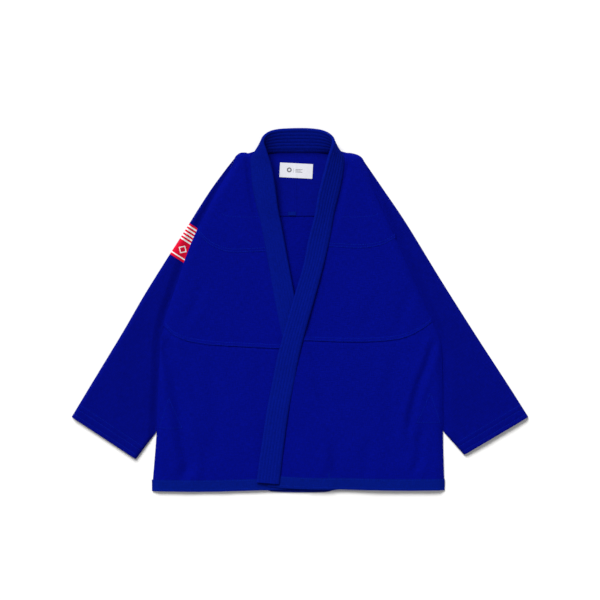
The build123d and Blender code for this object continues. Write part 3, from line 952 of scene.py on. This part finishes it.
def label_material(half_w, half_h):
    """White satin with a grey woven mark: a ring, a thin upright stroke and three bars."""
    material = bpy.data.materials.new("label_satin")
    material.use_nodes = True
    tree = material.node_tree
    shader = tree.nodes["Principled BSDF"]
    uv = tree.nodes.new("ShaderNodeUVMap")
    uv.uv_map = "UVMap"
    apart = tree.nodes.new("ShaderNodeSeparateXYZ")
    tree.links.new(uv.outputs[0], apart.inputs[0])
    x, y = apart.outputs["X"], apart.outputs["Y"]

    def box_mask(cx, cy, w, h):
        inside_x = calc(tree, "LESS_THAN", calc(tree, "ABSOLUTE", calc(tree, "SUBTRACT", x, cx)), w / 2)
        inside_y = calc(tree, "LESS_THAN", calc(tree, "ABSOLUTE", calc(tree, "SUBTRACT", y, cy)), h / 2)
        return calc(tree, "MULTIPLY", inside_x, inside_y)

    away = calc(tree, "SQRT", calc(tree, "ADD", calc(
        tree, "POWER", calc(tree, "ABSOLUTE", calc(tree, "SUBTRACT", x, -0.42 * half_w)), 2.0), calc(
        tree, "POWER", calc(tree, "ABSOLUTE", calc(tree, "SUBTRACT", y, 0.05 * half_h)), 2.0)))
    ring = calc(tree, "MULTIPLY", calc(tree, "LESS_THAN", away, 5.2 * MM),
                calc(tree, "GREATER_THAN", away, 2.4 * MM))
    mark = calc(tree, "MAXIMUM", ring, box_mask(-0.16 * half_w, 0.0, 0.5 * MM, 9 * MM))
    for cy, width in ((2.4 * MM, 15 * MM), (-0.4 * MM, 12 * MM), (-3.0 * MM, 15 * MM)):
        mark = calc(tree, "MAXIMUM", mark, box_mask(-0.08 * half_w + width / 2 + 1 * MM, cy, width, 1.1 * MM))
    weave = tree.nodes.new("ShaderNodeGroup")
    weave.node_tree = group_named("twill_weave", twill_group)
    weave.inputs["Pitch"].default_value = 0.5 * MM
    weave.inputs["Slant"].default_value = 2.0
    tree.links.new(uv.outputs[0], weave.inputs["Vector"])
    satin = mixed(tree, weave.outputs["Thread"], (0.60, 0.61, 0.66), (0.70, 0.71, 0.76))
    inked = mixed(tree, calc(tree, "MULTIPLY", mark, 0.9), satin, (0.10, 0.10, 0.11))
    tree.links.new(inked, shader.inputs["Base Color"])
    roughness = calc(tree, "ADD", calc(tree, "MULTIPLY", weave.outputs["Thread"], 0.15), 0.5)
    tree.links.new(roughness, shader.inputs["Roughness"])
    shader.inputs["Specular IOR Level"].default_value = 0.2
    relief = tree.nodes.new("ShaderNodeBump")
    relief.inputs["Distance"].default_value = 0.06 * MM
    tree.links.new(weave.outputs["Height"], relief.inputs["Height"])
    tree.links.new(relief.outputs[0], shader.inputs["Normal"])
    return material


class JACKET_OT_fronts(bpy.types.Operator):
    """Lays the chest and skirt cloth of both fronts and sews the seam between them"""

    bl_idname = "jacket.fronts"
    bl_label = "Fronts"

    def execute(self, context):
        for side in ("right", "left"):
            self.front(side)
        return {"FINISHED"}

    def front(self, side):
        hole, seam, lapel, hem = HOLE[side], CHEST_SEAM[side], LAPEL[side], FRONT_HEM[side]
        top = SHOULDER_TOP[side]
        split = hole.share_at_y(seam.at(0).y)
        lapel_seam = lapel.share_at_y(seam.at(1).y)
        overlap = Vector((0, 9 * MM))

        def chest_height(p):
            return front_height(side, p)

        def skirt_height(p):
            under = ease((9 * MM - seam.distance(p)) / (9 * MM)) if p.y > seam_y(seam, p.x) else 0.0
            return front_height(side, p) - 0.1 * MM - 1.0 * MM * under

        inner = lapel.part(0, lapel_seam, 16)
        joined_top = Course([top.at(i / 8) for i in range(8)] + [inner.at(0)])
        outer = hole.part(0, split, 24)
        bottom = Course([outer.at(1)] + [seam.at(i / 10) for i in range(1, 10)] + [inner.at(1)])
        chest = cloth_patch(f"chest_{side}", (outer, inner, joined_top, bottom), chest_height, body_cloth(),
                            sizes().cloth)
        raised = Course([p + overlap for p in (seam.at(0.02), *[seam.at(i / 10) for i in range(1, 10)],
                                               seam.at(1))])
        skirt_outer = Course([raised.at(0)] + [hole.at(split + (1 - split) * i / 14) for i in range(1, 15)])
        tail = Course([raised.at(1)] + [lapel.at(lapel_seam + (0.995 - lapel_seam) * i / 10) for i in range(1, 10)]
                      + [hem.at(1)])
        skirt = cloth_patch(f"skirt_{side}", (skirt_outer, tail, raised, hem), skirt_height, body_cloth(),
                            sizes().cloth)
        line = seam.part(0.012, 0.97, 24)
        felled, felled_height = felled_seam(f"chest_seam_{side}", line, 9.5 * MM, chest_height, 0.25 * MM,
                                            0.85 * MM, body_cloth())
        rows = [Course([line.at(i / 14) + Vector((0, up)) for i in range(15)]) for up in (1.9 * MM, 7.6 * MM)]
        sewn = sew(f"chest_seam_stitches_{side}", rows, felled_height, thread_and_highlight_material())
        chest_nodes = [f"chest_side_{side}", f"chest_flap_{side}", f"shoulder_fold_{side}", f"armhole_seam_{side}"]
        skirt_nodes = [f"skirt_side_{side}", f"skirt_flap_{side}", f"side_seam_{side}"]
        for piece, nodes in ((chest, chest_nodes), (skirt, skirt_nodes), (felled, []), (sewn, [])):
            hinge(piece, side)
            if nodes:
                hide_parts(*nodes)
        declare_sheet(chest, (0.32, 0.405))
        declare_sheet(skirt, (0.375, 0.35))


def seam_y(seam, x):
    """Height of a seam above a distance from the centre line."""
    line = seam.line[::10]
    return min(line, key=lambda p: abs(p.x - x)).y


class JACKET_OT_shoulder_patches(bpy.types.Operator):
    """Lays the reinforcement over each shoulder and sews its lower edge"""

    bl_idname = "jacket.shoulder_patches"
    bl_label = "Shoulder patches"

    lower = {
        "left": [(201, 154), (191, 148), (178, 140.5), (153, 133.5), (123, 131), (90, 132.5), (59, 134), (36, 134)],
        "right": [(216, 168), (211, 161), (190, 139.5), (162, 126), (142, 122), (110, 122.5), (76, 124),
                  (49, 124)],
    }

    def execute(self, context):
        for side in SIDES:
            hole, lapel = HOLE[side], LAPEL[side]
            low = Course(at_side(side, *self.lower[side]))
            split = hole.share_at_y(low.at(0).y)
            outer = Course([hole.at(split * i / 10) - Vector((SIDES[side] * 1.2 * MM, 0)) for i in range(10)]
                           + [low.at(0)])
            top = SHOULDER_TOP[side]
            lapel_low = lapel.share_at_y(low.at(1).y)
            inner = Course([lapel.at(lapel_low * i / 8) for i in range(8)] + [low.at(1)])
            upper = Course([outer.at(0)] + [top.at(i / 8) for i in range(1, 8)] + [inner.at(0)])

            def height(p, side=side, low=low):
                return front_height(side, p) + 0.2 * MM + 0.4 * MM * ease(low.distance(p) / (12 * MM))

            piece = cloth_patch(f"shoulder_cloth_{side}", (outer, inner, upper, low), height, body_cloth(),
                                0.9 * MM, turn=math.radians(2 * SIDES[side]))
            line = low.part(0.01, 0.97, 20)
            felled, felled_height = felled_seam(f"shoulder_seam_{side}", line, 9.5 * MM, height, -0.1 * MM,
                                                0.5 * MM, body_cloth())
            rows = [Course([line.at(i / 12) + Vector((0, up)) for i in range(13)])
                    for up in (1.9 * MM, 7.6 * MM)]
            sewn = sew(f"shoulder_stitches_{side}", rows, felled_height, thread_and_highlight_material(), thick=1.1 * MM)
            upper_row = Course(at_side(side, (164, 204), (152, 199), (120, 196.5), (86, 197)))
            inner_row = sew(f"yoke_row_{side}", [upper_row], height, thread_and_highlight_material())
            for part in (piece, felled, sewn, inner_row):
                hinge(part, side)
            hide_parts(f"shoulder_patch_side_{side}", f"shoulder_patch_flap_{side}")
            declare_sheet(piece, (0.21, 0.215))
        return {"FINISHED"}


class JACKET_OT_hem_tapes(bpy.types.Operator):
    """Binds the hem of both fronts with tape, and patches the tops of the side vents"""

    bl_idname = "jacket.hem_tapes"
    bl_label = "Hem tape and vent patches"

    def execute(self, context):
        for side in SIDES:
            self.tape(side)
            self.vent(side)
        return {"FINISHED"}

    def tape(self, side):
        hem, hole, width = FRONT_HEM[side], HOLE[side], sizes().hem_tape
        low = Course([hem.at(i / 10) - Vector((0, 1 * MM)) for i in range(11)])
        top = Course([p + Vector((0, width + 1 * MM)) for p in low.line[::40] + [low.line[-1]]])
        outer = Course([top.at(0), top.at(0).lerp(low.at(0), 0.5), low.at(0)])
        inner = Course([top.at(1), top.at(1).lerp(low.at(1), 0.5), low.at(1)])

        def height(p):
            edge = min(abs(p.y - low.at(0.5).y), 4 * MM) / (4 * MM)
            return front_height(side, p) + 0.7 * MM * ease(0.35 + edge)

        piece = cloth_patch(f"hem_band_{side}", (outer, inner, top, low), height, tape_cloth(), 0.9 * MM,
                            step=3.5 * MM)
        rows = [Course([top.at(t) - Vector((0, drop)) for t in (0.005, 0.25, 0.5, 0.75, 0.99)])
                for drop in (2.0 * MM, width - 3.5 * MM)]
        sewn = sew(f"hem_stitches_{side}", rows, height, thread_and_highlight_material())
        for part in (piece, sewn):
            hinge(part, side)
        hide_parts(f"hem_tape_side_{side}", f"hem_tape_flap_{side}")

    def vent(self, side):
        x, y = (296.0, -234.0) if side == "left" else (298.0, -246.0)
        depth, tall = 53.0, 66.0
        base_in, base_out = (x - depth, y), (x - 1.5, y)
        tip = (x - depth * 0.44, y + tall)
        outer = Course(at_side(side, tip, ((tip[0] + base_out[0]) / 2, (tip[1] + y) / 2), base_out))
        inner = Course(at_side(side, (tip[0] - 1, tip[1]), ((tip[0] + base_in[0]) / 2, (tip[1] + y) / 2), base_in))
        top = Course([outer.at(0), outer.at(0).lerp(inner.at(0), 0.5), inner.at(0)])
        low = Course([outer.at(1), outer.at(1).lerp(inner.at(1), 0.5), inner.at(1)])

        def height(p):
            return front_height(side, p) + 0.35 * MM

        piece = cloth_patch(f"vent_cloth_{side}", (outer, inner, top, low), height, body_cloth(), 0.6 * MM,
                            step=3 * MM, turn=math.radians(35))
        middle = (outer.at(0.7) + inner.at(0.7)) / 2
        rows = [Course([(p - middle) * 0.93 + middle for p in line.line[::12] + [line.line[-1]]])
                for line in (outer, inner, low)]
        sewn = sew(f"vent_stitches_{side}", rows, height, thread_and_highlight_material())
        for part in (piece, sewn):
            hinge(part, side)
        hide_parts(f"vent_patch_{side}")


class JACKET_OT_collar(bpy.types.Operator):
    """Makes the collar band, sewn in rows over its foam core, from the crown of the neck to both hems"""

    bl_idname = "jacket.collar"
    bl_label = "Collar and lapels"

    def execute(self, context):
        thick = LAPEL_THICK + 0.8 * MM
        for side in SIDES:
            cover = band(f"lapel_band_{side}", side, 0, thick, collar_cloth(), 0.8 * MM, 6)
            core = band(f"foam_core_{side}", side, 3 * MM, thick - 4 * MM, foam_material(), 0.0, 6, short=1)
            for piece in (cover, core):
                band_hinge(piece)
            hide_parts(f"lapel_{side}", "collar_back")
            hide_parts(f"lapel_core_{side}", "collar_core")
            self.sew_rows(side, thick)
        return {"FINISHED"}

    def sew_rows(self, side, thick):
        """Stitches in the grooves of the band, on both of its faces."""
        stations = band_stations(side)
        width = sizes().collar_width
        pitch, step = sizes().collar_row, sizes().stitch * 1.15
        length = stations[-1][4] - 4 * MM
        count = int(length / step)
        spread = [-pitch * 2.5 + pitch * i for i in range(6)]
        spans = []
        for across_at, face in [(a, f) for a in spread for f in (1, -1)]:
            for i in range(count):
                ends = []
                for share in (0.14, 0.86):
                    far = (i + share) * step
                    low = next(k for k in range(len(stations) - 1) if stations[k + 1][4] >= far)
                    t = (far - stations[low][4]) / (stations[low + 1][4] - stations[low][4])
                    wide = stations[low][3] / width
                    middle, across, out = [stations[low][k].lerp(stations[low + 1][k], t) for k in range(3)]
                    ends.append(middle + across * across_at * wide + out * face * (thick / 2 - 0.8 * MM))
                spans.append(ends)
        sewn = grains(f"lapel_stitches_{side}", spans, 0.65 * MM, 0.5 * MM, collar_cloth())
        band_hinge(sewn)


def foam_material():
    """Closed-cell foam: pale, with fine cells."""
    material = bpy.data.materials.get("collar_foam")
    if material:
        return material
    material = bpy.data.materials.new("collar_foam")
    material.use_nodes = True
    tree = material.node_tree
    shader = tree.nodes["Principled BSDF"]
    uv = tree.nodes.new("ShaderNodeUVMap")
    uv.uv_map = "UVMap"
    cells = tree.nodes.new("ShaderNodeTexVoronoi")
    cells.inputs["Scale"].default_value = 900
    tree.links.new(uv.outputs[0], cells.inputs["Vector"])
    tone = mixed(tree, cells.outputs["Distance"], (0.62, 0.58, 0.50), (0.80, 0.77, 0.70))
    tree.links.new(tone, shader.inputs["Base Color"])
    shader.inputs["Roughness"].default_value = 0.9
    relief = tree.nodes.new("ShaderNodeBump")
    relief.inputs["Distance"].default_value = 0.2 * MM
    tree.links.new(cells.outputs["Distance"], relief.inputs["Height"])
    tree.links.new(relief.outputs[0], shader.inputs["Normal"])
    return material


class JACKET_OT_sleeves(bpy.types.Operator):
    """Makes each sleeve as one flattened tube, and sews its cuff"""

    bl_idname = "jacket.sleeves"
    bl_label = "Sleeves"

    def execute(self, context):
        for side in SIDES:
            self.sleeve(side)
        return {"FINISHED"}

    def sleeve(self, side):
        outer, inner, armhole, cuff = SLEEVE[side]
        step = sizes().mesh_step
        rows, half = round(outer.length / step), round(armhole.length / (step * 1.15))
        bm, places = grid_of(rows, 2 * half)
        for vert, (row, column) in places.items():
            upper = column <= half
            v = column / half if upper else (2 * half - column) / half
            v = 0.5 - 0.5 * math.cos(math.pi * v) * (0.55 + 0.45 * abs(math.cos(math.pi * v)))
            p = patch_point(outer, inner, armhole, cuff, row / rows, v)
            vert.co = (p.x, p.y, sleeve_height(side, p, upper))
        layer = bm.loops.layers.uv.new("UVMap")
        sign = SIDES[side]
        for face in bm.faces:
            for loop in face.loops:
                x, y = loop.vert.co.x * sign, loop.vert.co.y
                along, off = x * SLEEVE_RUN.x + y * SLEEVE_RUN.y, x * SLEEVE_RUN.y - y * SLEEVE_RUN.x
                under = places[loop.vert][1] > half
                loop[layer].uv = (off * sign + (1.0 if under else 0.0), along)
        bmesh.ops.remove_doubles(bm, verts=bm.verts, dist=0.00002)
        bm.normal_update()
        if sum(f.normal.z for f in bm.faces if f.calc_center_median().z > 5 * MM) < 0:
            bmesh.ops.reverse_faces(bm, faces=bm.faces)
        tube = thicken(finish_mesh(bm, f"shaded_sleeve_cloth_{side}", shaded_sleeve_cloth()), sizes().cloth * 0.85)
        stitch_rows = (8.4 * MM, 21 * MM, 31 * MM)

        def cuff_height(p):
            far = cuff.distance(p)
            groove = sum(math.exp(-((far - row) / (1.4 * MM)) ** 2) for row in stitch_rows)
            roll = rounded(far, 2 * MM)
            return sleeve_height(side, p) + 0.75 * MM * roll - 0.65 * MM * groove

        top_of = {line: 1 - CUFF_HEM / line.length for line in (outer, inner)}
        wide_outer, wide_inner = outer.part(top_of[outer], 1, 4), inner.part(top_of[inner], 1, 4)
        upper = Course([wide_outer.at(0), wide_outer.at(0).lerp(wide_inner.at(0), 0.5), wide_inner.at(0)])
        hem = cloth_patch(f"cuff_hem_{side}", (wide_outer, wide_inner, upper, cuff), cuff_height, shaded_sleeve_cloth(),
                          0.8 * MM, step=1.6 * MM)
        rows = []
        for back in stitch_rows:
            ends = [line.at(1 - back / line.length) for line in (outer, inner)]
            rows.append(Course([ends[0].lerp(ends[1], 0.015 + 0.97 * i / 4) for i in range(5)]))
        sewn = sew(f"cuff_stitches_{side}", rows, cuff_height, thread_and_highlight_material(), 0.3 * MM)
        for part in (tube, hem, sewn):
            swing(part)
        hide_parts(*[f"sleeve_{name}_{side}" for name in ("front", "back", "fold", "under_seam", "head_front",
                                                                "head_back", "head_fold")])
        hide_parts(f"cuff_tape_{side}")
        flat = (0.34, outer.length)
        declare_sheet(tube, flat)


class JACKET_OT_emblem(bpy.types.Operator):
    """Sews the emblem to the wearer's right upper sleeve, where it wraps the outer fold"""

    bl_idname = "jacket.emblem"
    bl_label = "Emblem"

    depth = (0.0255, 0.0275, 0.0295, 0.0315, 0.0335, 0.0355, 0.0365)

    def execute(self, context):
        outer = SLEEVE["right"][0]
        high, low = outer.share_at_y(0.184), outer.share_at_y(0.1195)
        edge = Course([outer.at(high + (low - high) * i / 6) for i in range(7)])
        inward = Vector((-SLEEVE_RUN.y, -SLEEVE_RUN.x)).normalized()
        inner = Course([p + inward * d for p, d in zip([edge.at(i / 6) for i in range(7)], self.depth)])
        top = Course([edge.at(0), edge.at(0).lerp(inner.at(0), 0.5), inner.at(0)])
        bottom = Course([edge.at(1), edge.at(1).lerp(inner.at(1), 0.5), inner.at(1)])

        def height(p):
            return sleeve_height("right", p) + 0.8 * MM

        patch = cloth_patch("emblem_cloth", (edge, inner, top, bottom), height, emblem_material(), 0.7 * MM,
                            step=1.5 * MM, turn=-math.atan2(SLEEVE_RUN.x, -SLEEVE_RUN.y))
        rows = [Course([inner.at(i / 10) - inward * 0.9 * MM for i in range(11)])]
        sewn = sew("emblem_stitches", rows, height, white_thread(), 0.3 * MM)
        for part in (patch, sewn):
            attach(part, "jacket_back")
        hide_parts("emblem_patch")
        declare_sheet(patch, (0.033, 0.078))
        return {"FINISHED"}


def white_thread():
    return cloth_material("white_thread", (0.75, 0.75, 0.75), "twill_weave", twill_group, 0.8 * MM, 0.1 * MM,
                          0.08, heather=0.05, slant=0.5, rough=0.6, sheen=0.0)


def emblem_material():
    """Red embroidery with plain white bars, in satin stitch."""
    material = bpy.data.materials.new("emblem_embroidery")
    material.use_nodes = True
    tree = material.node_tree
    shader = tree.nodes["Principled BSDF"]
    uv = tree.nodes.new("ShaderNodeUVMap")
    uv.uv_map = "UVMap"
    apart = tree.nodes.new("ShaderNodeSeparateXYZ")
    tree.links.new(uv.outputs[0], apart.inputs[0])
    u, v = apart.outputs["X"], apart.outputs["Y"]
    bars = calc(tree, "LESS_THAN", calc(tree, "FRACT", calc(tree, "DIVIDE", v, 7.4 * MM)), 0.45)
    bars = calc(tree, "MULTIPLY", bars, calc(tree, "GREATER_THAN", v, -11 * MM))
    border = calc(tree, "LESS_THAN", calc(tree, "ABSOLUTE", calc(tree, "ADD", v, 40.5 * MM)), 1.3 * MM)
    lozenge = calc(tree, "ADD", calc(tree, "ABSOLUTE", calc(tree, "ADD", u, 276 * MM)),
                   calc(tree, "ABSOLUTE", calc(tree, "ADD", v, 24.5 * MM)))
    outline = calc(tree, "LESS_THAN", calc(tree, "ABSOLUTE", calc(tree, "SUBTRACT", lozenge, 8 * MM)), 1.5 * MM)
    white = calc(tree, "MAXIMUM", calc(tree, "MAXIMUM", bars, border), outline)
    weave = tree.nodes.new("ShaderNodeGroup")
    weave.node_tree = group_named("twill_weave", twill_group)
    weave.inputs["Pitch"].default_value = 0.9 * MM
    weave.inputs["Slant"].default_value = 0.2
    tree.links.new(uv.outputs[0], weave.inputs["Vector"])
    red = mixed(tree, weave.outputs["Thread"], scaled(colours().emblem, 0.75), scaled(colours().emblem, 1.15))
    sewn = mixed(tree, white, red, (0.85, 0.83, 0.83))
    tree.links.new(sewn, shader.inputs["Base Color"])
    roughness = calc(tree, "ADD", calc(tree, "MULTIPLY", weave.outputs["Thread"], -0.2), 0.75)
    tree.links.new(roughness, shader.inputs["Roughness"])
    shader.inputs["Specular IOR Level"].default_value = 0.08
    relief = tree.nodes.new("ShaderNodeBump")
    relief.inputs["Distance"].default_value = 0.3 * MM
    tree.links.new(weave.outputs["Height"], relief.inputs["Height"])
    tree.links.new(relief.outputs[0], shader.inputs["Normal"])
    return material


class JACKET_OT_stage(bpy.types.Operator):
    """Sets up the floor, the soft lights and the camera straight above"""

    bl_idname = "jacket.stage"
    bl_label = "Stage"

    def execute(self, context):
        scene = context.scene
        scene.view_settings.view_transform = "Standard"
        bm = bmesh.new()
        bmesh.ops.create_grid(bm, x_segments=4, y_segments=4, size=6.0)
        floor = finish_mesh(bm, "floor", self.floor_material(), smooth=False)
        world = bpy.data.worlds.new("studio")
        world.use_nodes = True
        world.node_tree.nodes["Background"].inputs["Color"].default_value = (1.0, 1.0, 1.0, 1)
        world.node_tree.nodes["Background"].inputs["Strength"].default_value = 0.40
        scene.world = world
        lamp = bpy.data.lights.new("softbox", "SUN")
        lamp.angle = math.radians(30)
        lamp.energy = 3.9
        stand = bpy.data.objects.new("softbox", lamp)
        stand.rotation_euler = Vector((0.44, -1.0, -1.0)).to_track_quat("-Z", "Y").to_euler()
        scene.collection.objects.link(stand)
        camera = bpy.data.cameras.new("camera")
        camera.lens = 85
        camera.sensor_width = 36
        camera.dof.use_dof = False
        seat = bpy.data.objects.new("camera", camera)
        seat.location = (0, 0.0231, 2.97)
        scene.collection.objects.link(seat)
        scene.camera = seat
        return {"FINISHED"}

    def floor_material(self):
        material = bpy.data.materials.new("studio_floor")
        material.use_nodes = True
        tree = material.node_tree
        shader = tree.nodes["Principled BSDF"]
        place = tree.nodes.new("ShaderNodeTexCoord")
        grain = tree.nodes.new("ShaderNodeTexNoise")
        grain.inputs["Scale"].default_value = 3
        tree.links.new(place.outputs["Object"], grain.inputs["Vector"])
        tone = mixed(tree, grain.outputs["Fac"], scaled(colours().floor, 0.995), scaled(colours().floor, 1.005))
        tree.links.new(tone, shader.inputs["Base Color"])
        shader.inputs["Roughness"].default_value = 0.95
        shader.inputs["Specular IOR Level"].default_value = 0.0
        return material


class JACKET_PT_panel(bpy.types.Panel):
    """Lists the jacket's pieces, sizes and colours"""

    bl_idname = "JACKET_PT_panel"
    bl_label = "Grappling jacket"
    bl_space_type = "VIEW_3D"
    bl_region_type = "UI"
    bl_category = "Jacket"

    def draw(self, context):
        for operator in OPERATORS:
            self.layout.operator(operator.bl_idname)
        for group in (context.scene.jacket_sizes, context.scene.jacket_colours):
            column = self.layout.column()
            for name in group.__annotations__:
                column.prop(group, name)


OPERATORS = (JACKET_OT_back, JACKET_OT_yoke, JACKET_OT_fronts, JACKET_OT_shoulder_patches,
             JACKET_OT_hem_tapes, JACKET_OT_collar, JACKET_OT_sleeves, JACKET_OT_emblem, JACKET_OT_stage)
CLASSES = (JacketSizes, JacketColours, *OPERATORS, JACKET_PT_panel)


def register():
    for made in CLASSES:
        bpy.utils.register_class(made)
    bpy.types.Scene.jacket_sizes = bpy.props.PointerProperty(type=JacketSizes)
    bpy.types.Scene.jacket_colours = bpy.props.PointerProperty(type=JacketColours)


def unregister():
    del bpy.types.Scene.jacket_colours
    del bpy.types.Scene.jacket_sizes
    for made in reversed(CLASSES):
        bpy.utils.unregister_class(made)


def main():
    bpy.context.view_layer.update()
    register()
    bpy.ops.jacket.back()
    bpy.ops.jacket.yoke()
    bpy.ops.jacket.fronts()
    bpy.ops.jacket.shoulder_patches()
    bpy.ops.jacket.hem_tapes()
    bpy.ops.jacket.collar()
    bpy.ops.jacket.sleeves()
    bpy.ops.jacket.emblem()
    bpy.ops.jacket.stage()


if __name__ == "__main__":
    main()
